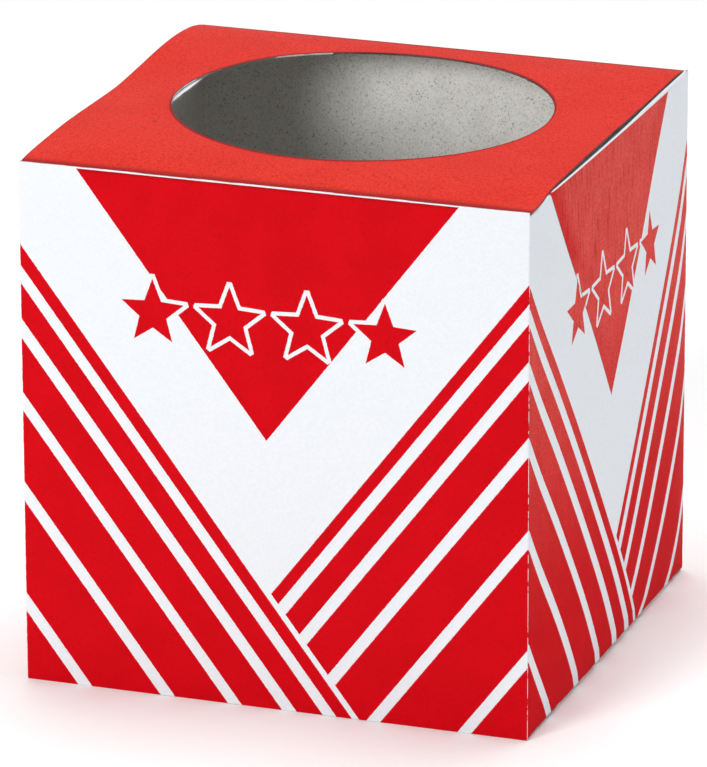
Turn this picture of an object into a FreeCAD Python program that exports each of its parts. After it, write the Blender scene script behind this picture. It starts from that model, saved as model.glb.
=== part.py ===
import FreeCAD, Part
import os
import Sketcher

# A printed folding carton for drawing lots. Four walls of coated board make a square tube,
# with a glued seam at its back right corner. The lid has a round hand hole, is hinged on the
# back wall and tucks in behind the front wall, over two dust flaps. A plain bottom panel
# closes the base in the same way. Millimetres, +Z up, the front wall faces -Y, and the
# origin is the middle of the base.

App = FreeCAD
doc = App.newDocument("raffle_box")

# Driving dimensions: alias, value, meaning
SIZES = [
    ("board", 0.6, "thickness of the coated board"),
    ("box_width", 200.0, "outside width, across the front"),
    ("box_depth", 195.0, "outside depth, front to back"),
    ("box_height", 205.0, "outside height at the back fold"),
    ("hole_radius", 72.5, "hand hole in the lid"),
    ("hole_back", 4.0, "hand hole centre, behind the middle of the box"),
    ("lid_bow", 3.0, "rise of the lid between its two folds"),
    ("lid_inset", 0.7, "side edge of a closing panel to the outside of the side wall"),
    ("front_drop", 0.3, "cut edge of the front wall below the lid's fold"),
    ("tuck_fit", 0.2, "front fold of a closing panel to the front wall"),
    ("tuck_depth", 25.0, "tuck flap, fold to free edge"),
    ("tuck_lean", 6.0, "degrees that a tuck flap leans into the box"),
    ("tuck_side_gap", 1.5, "tuck flap to the side walls"),
    ("tuck_round", 14.0, "corner radius of a tuck flap"),
    ("slit_length", 9.0, "slit lock at each end of a tuck flap's fold, along the fold"),
    ("slit_width", 0.8, "slit lock, across the fold"),
    ("dust_width", 27.5, "dust flap, fold to free edge"),
    ("dust_front_gap", 3.0, "dust flap to the front wall"),
    ("dust_back_gap", 1.5, "dust flap to the back wall"),
    ("dust_round", 5.0, "corner radius of a dust flap's free edge"),
    ("layer_gap", 0.2, "closing panel to the dust flaps behind it"),
    ("fold_relief", 0.05, "how far a mitred fold stands open on its inner side"),
    ("glue_flap_width", 15.0, "glue flap, fold to free edge"),
    ("glue_flap_end_gap", 3.0, "glue flap to the folds above and below it"),
    ("glue_flap_taper", 4.0, "fall of each slanted end of the glue flap"),
    ("glue_film", 0.1, "thickness of the dried glue"),
    ("glue_margin", 3.0, "glue to the edges of the glue flap"),
]

sheet = doc.addObject("Spreadsheet::Sheet", "sizes")
for row, (alias, size, meaning) in enumerate(SIZES, start=1):
    sheet.set("A%d" % row, str(size))
    sheet.setAlias("A%d" % row, alias)
    sheet.set("B%d" % row, meaning)
doc.recompute()

# Places that several pieces share, as expressions over the sheet
BOARD = "sizes.board"
HALF_WIDTH = "(sizes.box_width / 2)"
HALF_DEPTH = "(sizes.box_depth / 2)"
HEIGHT = "sizes.box_height"
# The side walls fold one board and one gap inside the closing panels.
SIDE_LOW = "(sizes.board + sizes.layer_gap)"
SIDE_HIGH = "(sizes.box_height - sizes.board - sizes.layer_gap)"
# The front fold of a closing panel, in front of the middle of the box
FRONT_FOLD = "(sizes.box_depth / 2 - sizes.board - sizes.tuck_fit)"
# The back wall ends inside the right wall, with the glue between them.
SEAM = "(sizes.box_width / 2 - sizes.board - sizes.glue_film)"
PANEL_EDGE = "(sizes.box_width / 2 - sizes.lid_inset)"
# How far a panel's inner face stops short of its fold
WALL_MITRE = "(sizes.board + sizes.fold_relief)"
TUCK_MITRE = "(sizes.board * (1 + sin(sizes.tuck_lean)) / cos(sizes.tuck_lean) + sizes.fold_relief)"

X_AXIS = App.Vector(1, 0, 0)
Z_AXIS = App.Vector(0, 0, 1)
# Which side of a flap's outer face its board lies on, along the flap's own Z
BOARD_BELOW = -1
BOARD_ABOVE = 1


def number(expression):
    """What an expression over the sheet comes to, for a first guess that a binding then holds."""
    return float(sheet.evalExpression(expression.replace("sizes.", "")))


def bind(thing, **expressions):
    """Bind a thing's properties to the sheet; a double underscore stands for a dot."""
    for name, expression in expressions.items():
        thing.setExpression(name.replace("__", "."), expression)


def place(thing, x="0", y="0", z="0", axis=Z_AXIS, angle="0"):
    """Bind a thing's place and its turn about one axis, in degrees."""
    thing.Placement = App.Placement(App.Vector(), App.Rotation(axis, 90))
    bind(thing, Placement__Rotation__Angle=angle)
    bind(thing, Placement__Base__x=x, Placement__Base__y=y, Placement__Base__z=z)


def plate(label, outer, inner):
    """A board between its outer face at local Y 0 and its inner face.

    outer and inner are (low X, high X, low Z, high Z). An edge that is shorter inside is mitred.
    """
    panel = doc.addObject("Part::Wedge", label)
    panel.Label = label
    bind(panel, Ymin="0", Ymax=BOARD)
    bind(panel, Xmin=outer[0], Xmax=outer[1], Zmin=outer[2], Zmax=outer[3])
    bind(panel, X2min=inner[0], X2max=inner[1], Z2min=inner[2], Z2max=inner[3])
    return panel


def sketch_on(body, name, role):
    """A new sketch on one of a body's own origin planes."""
    sketch = body.newObject("Sketcher::SketchObject", name)
    plane = next(feature for feature in body.Origin.OriginFeatures if feature.Role == role)
    sketch.AttachmentSupport = [(plane, "")]
    sketch.MapMode = "FlatFace"
    return sketch


def locate(sketch, curve, end, x=None, y=None):
    """Hold one end of a curve at the expressions x and y; an axis takes the place of a zero."""
    for kind, line, expression in (("DistanceX", -2, x), ("DistanceY", -1, y)):
        if expression is None:
            continue
        if expression == "0":
            sketch.addConstraint(Sketcher.Constraint("PointOnObject", curve, end, line))
            continue
        held = sketch.addConstraint(
            Sketcher.Constraint(kind, -1, 1, curve, end, number(expression)))
        sketch.setExpression("Constraints[%d]" % held, expression)


def polygon(body, name, role, corners):
    """A closed outline with straight edges; corners are pairs of expressions."""
    sketch = sketch_on(body, name, role)
    points = [App.Vector(number(x), number(y), 0) for x, y in corners]
    following = points[1:] + points[:1]
    for start, end in zip(points, following):
        sketch.addGeometry(Part.LineSegment(start, end))
    for edge in range(len(points)):
        joined = (edge + 1) % len(points)
        sketch.addConstraint(Sketcher.Constraint("Coincident", edge, 2, joined, 1))
    for edge, (x, y) in enumerate(corners):
        locate(sketch, edge, 1, x, y)
    return sketch


def pad(body, sketch, length, side):
    feature = body.newObject("PartDesign::Pad", "pad")
    feature.Profile = sketch
    feature.Reversed = side < 0
    bind(feature, Length=length)
    doc.recompute()
    return feature


def cut_through(body, sketch, length):
    """Cut a sketch's outline out of a body, both ways from the sketch."""
    before = body.Shape.Volume
    feature = body.newObject("PartDesign::Pocket", "cut")
    feature.Profile = sketch
    feature.SideType = "Symmetric"
    bind(feature, Length=length)
    doc.recompute()
    if body.Shape.Volume >= before:
        raise RuntimeError("a pocket in %s cuts nothing" % body.Label)
    return feature


def round_corners(body, feature, radius, corners):
    """Round the edges of a flap that stand on the given corners of its outline."""
    spots = [(number(x), number(y)) for x, y in corners]
    names = []
    for index, edge in enumerate(feature.Shape.Edges, start=1):
        middle = edge.CenterOfMass
        upright = abs(edge.Vertexes[0].Z - edge.Vertexes[-1].Z) > 0
        if upright and any(abs(middle.x - x) + abs(middle.y - y) < 1e-6 for x, y in spots):
            names.append("Edge%d" % index)
    fillet = body.newObject("PartDesign::Fillet", "round")
    fillet.Base = (feature, names)
    bind(fillet, Radius=radius)
    doc.recompute()


def flap(label, outline, rounded, radius, mitre, side):
    """A flap with its fold along local X and its outer face at local Z 0."""
    body = doc.addObject("PartDesign::Body", label)
    body.Label = label
    shape = polygon(body, "outline", "XY_Plane", outline)
    feature = pad(body, shape, BOARD, side)
    round_corners(body, feature, radius, rounded)
    inner = "%d * %s" % (side, BOARD)
    wedge = polygon(body, "mitre", "YZ_Plane", [("0", "0"), ("0", inner), (mitre, inner)])
    cut_through(body, wedge, "2 * (sizes.box_width + sizes.box_depth)")
    return body


# The walls, seen from above: mitred where the board is folded, square where it is cut

def front_wall():
    high = "(%s - sizes.front_drop)" % HEIGHT
    outer = ("-" + HALF_WIDTH, HALF_WIDTH, "0", high)
    inner = ("%s - %s" % (BOARD, HALF_WIDTH), "%s - %s" % (HALF_WIDTH, BOARD), "0", high)
    wall = plate("front_wall", outer, inner)
    place(wall, y="-" + HALF_DEPTH)
    return wall


def back_wall():
    outer = ("-" + SEAM, HALF_WIDTH, "0", HEIGHT)
    inner = ("-" + SEAM, "%s - %s" % (HALF_WIDTH, BOARD), WALL_MITRE, "%s - %s" % (HEIGHT, WALL_MITRE))
    wall = plate("back_wall", outer, inner)
    place(wall, y=HALF_DEPTH, angle="180")
    return wall


def side_wall(label, side):
    """side is 1 for the right wall, which has the glued cut edge at its back, and -1 for the left."""
    folded = "%s - %s" % (HALF_DEPTH, BOARD)
    cut = HALF_DEPTH if side > 0 else folded
    outer = ("-" + HALF_DEPTH, HALF_DEPTH, SIDE_LOW, SIDE_HIGH)
    low_in = "%s + %s" % (SIDE_LOW, WALL_MITRE)
    high_in = "%s - %s" % (SIDE_HIGH, WALL_MITRE)
    inner = ("-(%s)" % folded, cut, low_in, high_in)
    wall = plate(label, outer, inner)
    place(wall, x="%d * %s" % (side, HALF_WIDTH), angle="%d" % (90 * side))
    return wall


# The seam: a flap folded from the back wall, glued to the inside of the right wall

GLUE_LOW = "(%s + sizes.glue_flap_end_gap)" % SIDE_LOW
GLUE_HIGH = "(%s - sizes.glue_flap_end_gap)" % SIDE_HIGH


def glue_flap():
    piece = doc.addObject("Part::Wedge", "glue_flap")
    piece.Label = "glue_flap"
    bind(piece, Ymin="0", Ymax="sizes.glue_flap_width")
    bind(piece, Xmin="0", Xmax=BOARD, Zmin=GLUE_LOW, Zmax=GLUE_HIGH)
    bind(piece, X2min="0", X2max=BOARD)
    bind(piece, Z2min="%s + sizes.glue_flap_taper" % GLUE_LOW)
    bind(piece, Z2max="%s - sizes.glue_flap_taper" % GLUE_HIGH)
    place(piece, x=SEAM, y="%s - %s" % (HALF_DEPTH, BOARD), angle="180")
    return piece


def glue_line():
    piece = doc.addObject("Part::Box", "glue_line")
    piece.Label = "glue_line"
    clear = "(sizes.glue_flap_taper + sizes.glue_margin)"
    bind(piece, Length="sizes.glue_film", Width="sizes.glue_flap_width - 2 * sizes.glue_margin")
    bind(piece, Height="%s - %s - 2 * %s" % (GLUE_HIGH, GLUE_LOW, clear))
    back = "%s - %s - sizes.glue_flap_width + sizes.glue_margin" % (HALF_DEPTH, BOARD)
    place(piece, x=SEAM, y=back, z="%s + %s" % (GLUE_LOW, clear))
    return piece


# The lid: a bowed strip between its front fold and its back fold, with the hand hole

def lid():
    body = doc.addObject("PartDesign::Body", "lid")
    body.Label = "lid"
    front = "-" + FRONT_FOLD
    span = "(%s + %s)" % (HALF_DEPTH, FRONT_FOLD)
    radius = "((%s / 2) ^ 2 + sizes.lid_bow ^ 2) / (2 * sizes.lid_bow)" % span
    profile = sketch_on(body, "profile", "YZ_Plane")

    # First guesses for the solver, from the same sizes
    low, high, reach = number(front), number(HALF_DEPTH), number(radius)
    centre = App.Vector((low + high) / 2, number("sizes.lid_bow") - reach, 0)
    ends = [(reach, low, high)]
    ends.append((reach - number(BOARD), low + number(TUCK_MITRE), high - number(WALL_MITRE)))
    arcs = []
    for size, start, end in ends:
        up = [App.Vector(y, centre.y + (size ** 2 - (y - centre.x) ** 2) ** 0.5, 0) for y in (start, end)]
        circle = Part.Circle(centre, Z_AXIS, size)
        arcs.append(Part.ArcOfCircle(circle, circle.parameter(up[1]), circle.parameter(up[0])))
    top = profile.addGeometry(arcs[0])
    under = profile.addGeometry(arcs[1])
    back_end = profile.addGeometry(Part.LineSegment(arcs[0].StartPoint, arcs[1].StartPoint))
    front_end = profile.addGeometry(Part.LineSegment(arcs[0].EndPoint, arcs[1].EndPoint))
    for line, point in ((back_end, 1), (front_end, 2)):
        profile.addConstraint(Sketcher.Constraint("Coincident", top, point, line, 1))
        profile.addConstraint(Sketcher.Constraint("Coincident", under, point, line, 2))
    profile.addConstraint(Sketcher.Constraint("Coincident", top, 3, under, 3))
    locate(profile, top, 2, front, "0")
    locate(profile, top, 1, HALF_DEPTH, "0")
    locate(profile, under, 2, "%s + %s" % (front, TUCK_MITRE))
    locate(profile, under, 1, "%s - %s" % (HALF_DEPTH, WALL_MITRE))
    for curve, size in ((top, radius), (under, "%s - %s" % (radius, BOARD))):
        held = profile.addConstraint(Sketcher.Constraint("Radius", curve, number(size)))
        profile.setExpression("Constraints[%d]" % held, size)

    strip = body.newObject("PartDesign::Pad", "strip")
    strip.Profile = profile
    strip.SideType = "Symmetric"
    bind(strip, Length="2 * " + PANEL_EDGE)
    doc.recompute()

    hole = sketch_on(body, "hand_hole", "XY_Plane")
    middle = App.Vector(0, number("sizes.hole_back"), 0)
    ring = hole.addGeometry(Part.Circle(middle, Z_AXIS, number("sizes.hole_radius")))
    locate(hole, ring, 3, "0", "sizes.hole_back")
    held = hole.addConstraint(Sketcher.Constraint("Radius", ring, number("sizes.hole_radius")))
    hole.setExpression("Constraints[%d]" % held, "sizes.hole_radius")
    cut_through(body, hole, "4 * (sizes.lid_bow + sizes.board)")
    place(body, z=HEIGHT)
    return body


def bottom_panel():
    back_in = "%s - %s" % (WALL_MITRE, HALF_DEPTH)
    front_in = "%s - %s" % (FRONT_FOLD, TUCK_MITRE)
    outer = ("-" + PANEL_EDGE, PANEL_EDGE, "-" + HALF_DEPTH, FRONT_FOLD)
    panel = plate("bottom_panel", outer, ("-" + PANEL_EDGE, PANEL_EDGE, back_in, front_in))
    place(panel, axis=X_AXIS, angle="90")
    return panel


# The flaps of the lid and of the bottom panel

def tuck_flap(label, height, turn, side):
    """A flap that slides in behind the front wall, with a slit lock at each end of its fold."""
    root = "(%s - sizes.slit_length)" % PANEL_EDGE
    reach = "(%s - %s - sizes.tuck_side_gap)" % (HALF_WIDTH, BOARD)
    slit = "sizes.slit_width"
    deep = "sizes.tuck_depth"
    half = [(root, "0"), (root, slit), (reach, slit), (reach, deep)]
    mirrored = [("-" + x, y) for x, y in reversed(half)]
    body = flap(label, half + mirrored, [half[-1], mirrored[0]], "sizes.tuck_round", TUCK_MITRE, side)
    angle = "%d * (90 - sizes.tuck_lean)" % turn
    place(body, y="-" + FRONT_FOLD, z=height, axis=X_AXIS, angle=angle)
    return body


def dust_flap(label, height, across, side):
    """A flap under a closing panel; across is 1 on the right wall and -1 on the left.

    Its back end is slanted, so that it can follow the closing panel as that opens.
    """
    front = "(%s - %s - sizes.dust_front_gap)" % (HALF_DEPTH, BOARD)
    back = "(%s - %s - sizes.dust_back_gap)" % (HALF_DEPTH, BOARD)
    wide = "sizes.dust_width"
    corners = [("-" + front, "0"), (back, "0"), ("(%s - %s)" % (back, wide), wide), ("-" + front, wide)]
    corners = [("%d * %s" % (across, x), y) for x, y in corners]
    body = flap(label, corners, corners[2:], "sizes.dust_round", WALL_MITRE, side)
    place(body, x="%d * %s" % (across, HALF_WIDTH), z=height, angle="%d" % (90 * across))
    return body


pieces = [
    front_wall(),
    back_wall(),
    side_wall("right_wall", 1),
    side_wall("left_wall", -1),
    glue_flap(),
    glue_line(),
    lid(),
    tuck_flap("lid_tuck_flap", HEIGHT, -1, BOARD_ABOVE),
    dust_flap("lid_dust_flap_right", SIDE_HIGH, 1, BOARD_BELOW),
    dust_flap("lid_dust_flap_left", SIDE_HIGH, -1, BOARD_BELOW),
    bottom_panel(),
    tuck_flap("bottom_tuck_flap", "0", 1, BOARD_BELOW),
    dust_flap("bottom_dust_flap_right", SIDE_LOW, 1, BOARD_ABOVE),
    dust_flap("bottom_dust_flap_left", SIDE_LOW, -1, BOARD_ABOVE),
]
doc.recompute()

# Check, then write one file for each piece
for thing in doc.Objects:
    if "Invalid" in thing.State or "Error" in thing.State:
        raise RuntimeError("%s failed to build" % thing.Label)
for piece in pieces:
    if piece.Shape.isNull() or not piece.Shape.isValid():
        raise RuntimeError("%s has no sound shape" % piece.Label)
os.makedirs("parts", exist_ok=True)
for piece in pieces:
    piece.Shape.exportStep("parts/%s.step" % piece.Label)
    box = piece.Shape.BoundBox
    spans = ((box.XMin, box.XMax), (box.YMin, box.YMax), (box.ZMin, box.ZMax))
    print(piece.Label, "%.1f mm3" % piece.Shape.Volume, ["%.2f to %.2f" % span for span in spans])
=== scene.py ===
import math

import bpy
import numpy as np
from mathutils import Matrix, Vector


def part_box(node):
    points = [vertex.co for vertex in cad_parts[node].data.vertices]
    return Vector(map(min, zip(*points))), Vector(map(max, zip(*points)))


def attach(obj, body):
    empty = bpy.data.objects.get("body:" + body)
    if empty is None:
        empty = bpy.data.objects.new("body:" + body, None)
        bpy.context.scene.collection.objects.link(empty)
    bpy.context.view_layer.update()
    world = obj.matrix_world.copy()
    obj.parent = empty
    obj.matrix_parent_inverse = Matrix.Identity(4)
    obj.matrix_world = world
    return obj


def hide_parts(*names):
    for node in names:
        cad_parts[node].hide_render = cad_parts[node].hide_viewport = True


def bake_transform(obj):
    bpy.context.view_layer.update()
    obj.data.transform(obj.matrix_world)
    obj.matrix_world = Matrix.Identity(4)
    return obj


# A printed folding carton for drawing lots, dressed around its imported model. Lengths of the box
# and the camera's place are in millimetres, and are scaled to metres when they are used. Those of
# the floor, the lights and the bump of a surface are in metres. +Z is up and the front wall
# faces -Y.

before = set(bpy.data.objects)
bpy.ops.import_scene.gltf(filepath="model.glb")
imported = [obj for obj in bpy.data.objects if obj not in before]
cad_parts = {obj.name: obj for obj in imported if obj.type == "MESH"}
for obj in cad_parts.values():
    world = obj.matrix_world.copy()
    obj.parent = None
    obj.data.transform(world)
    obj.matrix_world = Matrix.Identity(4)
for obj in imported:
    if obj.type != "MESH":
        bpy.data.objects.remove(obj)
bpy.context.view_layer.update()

MM = 0.001


def node_box(name):
    """Lowest and highest corner of a CAD node, in millimetres."""
    low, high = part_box(name)
    return np.array(low) / MM, np.array(high) / MM


# Sizes taken from the frame
SIDE = node_box("front_wall")[1][0]
BACK = node_box("back_wall")[1][1]
FRONT = node_box("front_wall")[0][1]
FRONT_TOP = node_box("front_wall")[1][2]
HEIGHT = node_box("back_wall")[1][2]
SIDE_LOW = node_box("right_wall")[0][2]
SIDE_HIGH = node_box("right_wall")[1][2]
LID_SIDE = node_box("lid")[1][0]
LID_FRONT = node_box("lid")[0][1]
SEAM = node_box("back_wall")[1][0]
BOARD = BACK - node_box("back_wall")[0][1]
TUCK_SIDE = node_box("lid_tuck_flap")[1][0]
DUST_WIDTH = SIDE - node_box("lid_dust_flap_right")[0][0]
DUST_FRONT = node_box("lid_dust_flap_right")[0][1]
DUST_BACK = node_box("lid_dust_flap_right")[1][1]
GLUE_LOW, GLUE_HIGH = node_box("glue_flap")[0][2], node_box("glue_flap")[1][2]
GLUE_EDGE = node_box("glue_flap")[0][1]
FILM_LOW, FILM_HIGH = node_box("glue_line")

# Sizes of the detail that the frame leaves plain
FOLD = 0.85
FOLD_STEPS = 8
HOLE_X, HOLE_Y, HOLE_R = 0.0, 4.0, 72.5
# The hole's cut edge is pale where x is no more than this, and dark elsewhere, where the dark copy of the
# cut edge is painted shade
PALE_EDGE_END = -35.0
TUCK_TURN = 96.0
TUCK_DEPTH = 25.0
TUCK_ROUND = 14.0
# Where a slit lock begins along a tuck flap's fold, and how deep it cuts into the flap
SLIT_IN = LID_SIDE - 9.0
SLIT_DEPTH = 1.6
DUST_ROUND = 5.0
GLUE_TAPER = 4.0
# How much higher the front wall's top edge stands than the frame's
FRONT_SHOWS = 0.45
# How far the lid leans out over the right wall at its front corner, and how far back that reaches
OVERHANG, OVERHANG_RUN = 0.9, 26.0
# How much wider than the frame's the lid's left dust flap is in line with the hole's middle, and
# how much that grows with each millimetre towards the front
LEFT_FLAP_WIDER, LEFT_FLAP_SLANT = 2.1, 0.02
# How far the lid's right dust flap hangs down, and how soon past its fold
DROOP, DROOP_RUN = 2.6, 2.5
# How wavy the edges of the glue film are, and how far it stays off the boards beside it
FILM_WAVE, FILM_INSET = 0.8, 0.005
# About how far apart the points of the walls and the bottom panel lie, those of the bowed lid,
# and those along a tuck flap
BOARD_STEP, LID_STEP, TUCK_STEP = 6.0, 3.5, 8.0
# Faces that meet at more than this many degrees are shaded with an edge between them
SHARP_ANGLE = 35


# Camera: the photograph's angle, level but for a fifth of a degree

AZIMUTH, ELEVATION, ROLL = math.radians(19.507), math.radians(18.758), math.radians(-0.179)
CAMERA_PLACE = Vector((909.576, -2575.258, 1025.273)) * MM
LENS, SENSOR = 353.77, 36.0


def add_camera():
    right = Vector((math.cos(AZIMUTH), math.sin(AZIMUTH), 0))
    ahead = Vector((
        -math.sin(AZIMUTH) * math.cos(ELEVATION),
        math.cos(AZIMUTH) * math.cos(ELEVATION),
        -math.sin(ELEVATION)))
    up = right.cross(ahead)
    turned_right = math.cos(ROLL) * right + math.sin(ROLL) * up
    turned_up = -math.sin(ROLL) * right + math.cos(ROLL) * up
    data = bpy.data.cameras.new("camera")
    data.lens = LENS
    data.sensor_width = SENSOR
    data.clip_start, data.clip_end = 0.1, 50.0
    camera = bpy.data.objects.new("camera", data)
    bpy.context.scene.collection.objects.link(camera)
    turn = Matrix((turned_right, turned_up, -ahead)).transposed().to_4x4()
    camera.matrix_world = Matrix.Translation(CAMERA_PLACE) @ turn
    bpy.context.scene.camera = camera


add_camera()


# Node graphs

class Graph:
    """A few short words for building a node tree."""

    def __init__(self, tree):
        self.tree = tree

    def node(self, kind, inputs=None, **settings):
        made = self.tree.nodes.new(kind)
        for name, value in settings.items():
            setattr(made, name, value)
        for name, value in (inputs or {}).items():
            self.feed(made.inputs[name], value)
        return made

    def feed(self, socket, value):
        if isinstance(value, bpy.types.NodeSocket):
            self.tree.links.new(value, socket)
        else:
            socket.default_value = value

    def math(self, operation, *values):
        made = self.tree.nodes.new("ShaderNodeMath")
        made.operation = operation
        for socket, value in zip(made.inputs, values):
            self.feed(socket, value)
        return made.outputs[0]

    def add(self, a, b):
        return self.math("ADD", a, b)

    def sub(self, a, b):
        return self.math("SUBTRACT", a, b)

    def mul(self, a, b):
        return self.math("MULTIPLY", a, b)

    def both(self, a, b):
        return self.math("MINIMUM", a, b)

    def either(self, a, b):
        return self.math("MAXIMUM", a, b)

    def over(self, a, b):
        return self.math("GREATER_THAN", a, b)

    def under(self, a, b):
        return self.math("LESS_THAN", a, b)

    def ease(self, value, low, high, to_low=0.0, to_high=1.0):
        made = self.node("ShaderNodeMapRange", {
            "Value": value, "From Min": low, "From Max": high, "To Min": to_low, "To Max": to_high},
            interpolation_type="SMOOTHSTEP")
        return made.outputs["Result"]

    def ramp(self, value, low, high, to_low, to_high):
        made = self.node("ShaderNodeMapRange", {
            "Value": value, "From Min": low, "From Max": high, "To Min": to_low, "To Max": to_high})
        return made.outputs["Result"]

    def noise(self, place, scale, detail=2.0, rough=0.5):
        made = self.node("ShaderNodeTexNoise", {
            "Vector": place, "Scale": scale, "Detail": detail, "Roughness": rough})
        return made.outputs["Fac"]

    def stretch(self, place, shares):
        made = self.node("ShaderNodeVectorMath", operation="MULTIPLY")
        self.feed(made.inputs[0], place)
        made.inputs[1].default_value = shares
        return made.outputs[0]

    def mix(self, share, a, b):
        made = self.tree.nodes.new("ShaderNodeMix")
        made.data_type = "RGBA"
        self.feed(made.inputs[0], share)
        for socket, value in ((made.inputs[6], a), (made.inputs[7], b)):
            self.feed(socket, value)
        return made.outputs[2]

    def bump(self, height, distance):
        inputs = {"Height": height, "Distance": distance, "Strength": 1.0}
        return self.node("ShaderNodeBump", inputs).outputs[0]


# Every board carries the places of its points in the closed box, and its print is laid out by them.
REST_PLACE = "rest_place"


def new_material(name):
    material = bpy.data.materials.new(name)
    material.use_nodes = True
    material.node_tree.nodes.clear()
    graph = Graph(material.node_tree)
    shader = graph.node("ShaderNodeBsdfPrincipled")
    output = graph.node("ShaderNodeOutputMaterial")
    graph.tree.links.new(shader.outputs[0], output.inputs[0])
    place = graph.node("ShaderNodeAttribute", attribute_name=REST_PLACE).outputs["Vector"]
    return material, graph, shader, place


# The print, in millimetres across (u) and up (v) a face that is 200 by 200

INK = (0.553, 0.0015, 0.0058, 1.0)
PAPER = ((0.733, 0.757, 0.787, 1.0), (0.773, 0.793, 0.823, 1.0))
FACE = 200.0
# Stripes that fall to the right, by u + v / 1.294, and those that rise to the right, by u - v / 1.276
FALLING = [(-60.0, 21.0), (26.6, 54.3), (60.1, 81.4), (86.9, 103.0), (108.8, 119.3), (124.6, 130.8)]
RISING = [(63.8, 69.5), (75.2, 86.3), (91.9, 108.8), (114.5, 136.5), (141.9, 172.4), (177.7, 260.0)]
FALL, RISE = 1 / 1.294, 1 / 1.276
SEAM_LINE = 133.6
# The triangle's top edge, and its two long edges: where each stands at v = 0, and how it leans
TRIANGLE_TOP = 199.65
TRIANGLE = (177.4, FALL, 16.2, RISE)
STARS, STAR_PITCH, STAR_U, STAR_V = 4, 30.4, 98.5, 147.8
STAR_TIP, STAR_NOTCH, STAR_LINE = 13.0, 5.6, 1.5
# Past a star's tip its outline is cut off, at its own width and this much more
STAR_BLUNT = 0.3
# How far the ink's edges can wander, from one side to the other
RAGGED = 0.5
# How wide the ink has cracked along a fold
CRACK = 0.33


def stripes(graph, value, bands):
    """1 inside any of the bands, else 0."""
    inside = 0.0
    for low, high in bands:
        band = graph.both(graph.over(value, low), graph.under(value, high))
        inside = graph.either(inside, band)
    return inside


def star_distance(graph, u, v):
    """How far a point is outside the nearest star of the row, along the star's own edges."""
    first = STAR_U - STAR_PITCH * STARS / 2
    cell = graph.math("FLOOR", graph.math("DIVIDE", graph.sub(u, first), STAR_PITCH))
    held = graph.math("MINIMUM", graph.math("MAXIMUM", cell, 0.0), STARS - 1.0)
    middle = graph.add(graph.mul(graph.add(held, 0.5), STAR_PITCH), first)
    across = graph.sub(u, middle)
    up = graph.sub(v, STAR_V)
    fifth = math.radians(72)
    turn = graph.add(graph.math("ARCTAN2", across, up), fifth * 2.5 + math.tau)
    folded = graph.math("ABSOLUTE", graph.sub(graph.math("MODULO", turn, fifth), fifth / 2))
    reach = graph.math("SQRT", graph.add(graph.mul(across, across), graph.mul(up, up)))
    along = graph.mul(reach, graph.math("COSINE", folded))
    aside = graph.mul(reach, graph.math("SINE", folded))
    tip = Vector((STAR_TIP, 0))
    notch = Vector((STAR_NOTCH * math.cos(fifth / 2), STAR_NOTCH * math.sin(fifth / 2)))
    edge = (notch - tip).normalized()
    outward = Vector((edge.y, -edge.x))
    beyond = graph.add(
        graph.mul(graph.sub(along, tip.x), outward.x),
        graph.mul(graph.sub(aside, tip.y), outward.y))
    return graph.either(beyond, graph.sub(reach, STAR_TIP + STAR_BLUNT))


def face_place(graph, place, across, start, direction):
    """u and v of a wall, and whether the print reaches a point of it or of a flap folded from it.

    across is the object axis along the wall, and start is where u is 0.
    """
    parts = graph.node("ShaderNodeSeparateXYZ", {"Vector": place}).outputs
    half, reach, away = (SIDE, BACK, "Y") if across == "X" else (BACK, SIDE, "X")
    u = graph.mul(graph.sub(parts[across], start * MM), direction * FACE / (2 * half) / MM)
    v = graph.mul(parts["Z"], FACE / HEIGHT / MM)
    reached = graph.over(graph.math("ABSOLUTE", parts[away]), (reach - FOLD) * MM)
    return u, v, reached


def print_mask(graph, place, u, v, shift, triangle, triangle_top):
    """How much ink lies at a point of a wall, and how far inside the triangle's edges it is.

    shift moves the stripes that fall, and those that rise, to the right. The ink's edges are ragged.
    """
    ragged = graph.sub(graph.noise(place, 1400.0, 3.0, 0.6), 0.5)
    u = graph.add(u, graph.mul(ragged, RAGGED))
    falling = graph.sub(graph.add(u, graph.mul(v, FALL)), shift[0])
    rising = graph.sub(graph.sub(u, graph.mul(v, RISE)), shift[1])
    stripes_left = stripes(graph, falling, FALLING)
    stripes_right = graph.both(stripes(graph, rising, RISING), graph.over(falling, SEAM_LINE))
    left, left_lean, right, right_lean = triangle
    from_left = graph.sub(graph.add(u, graph.mul(v, left_lean)), left)
    from_right = graph.sub(right, graph.sub(u, graph.mul(v, right_lean)))
    inside = graph.both(graph.both(from_left, from_right), graph.sub(triangle_top, v))
    ground = graph.either(graph.either(stripes_left, stripes_right), graph.over(inside, 0.0))
    star = star_distance(graph, u, v)
    ground = graph.both(ground, graph.over(star, STAR_LINE))
    return graph.either(ground, graph.under(star, 0.0)), from_left, inside


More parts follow.
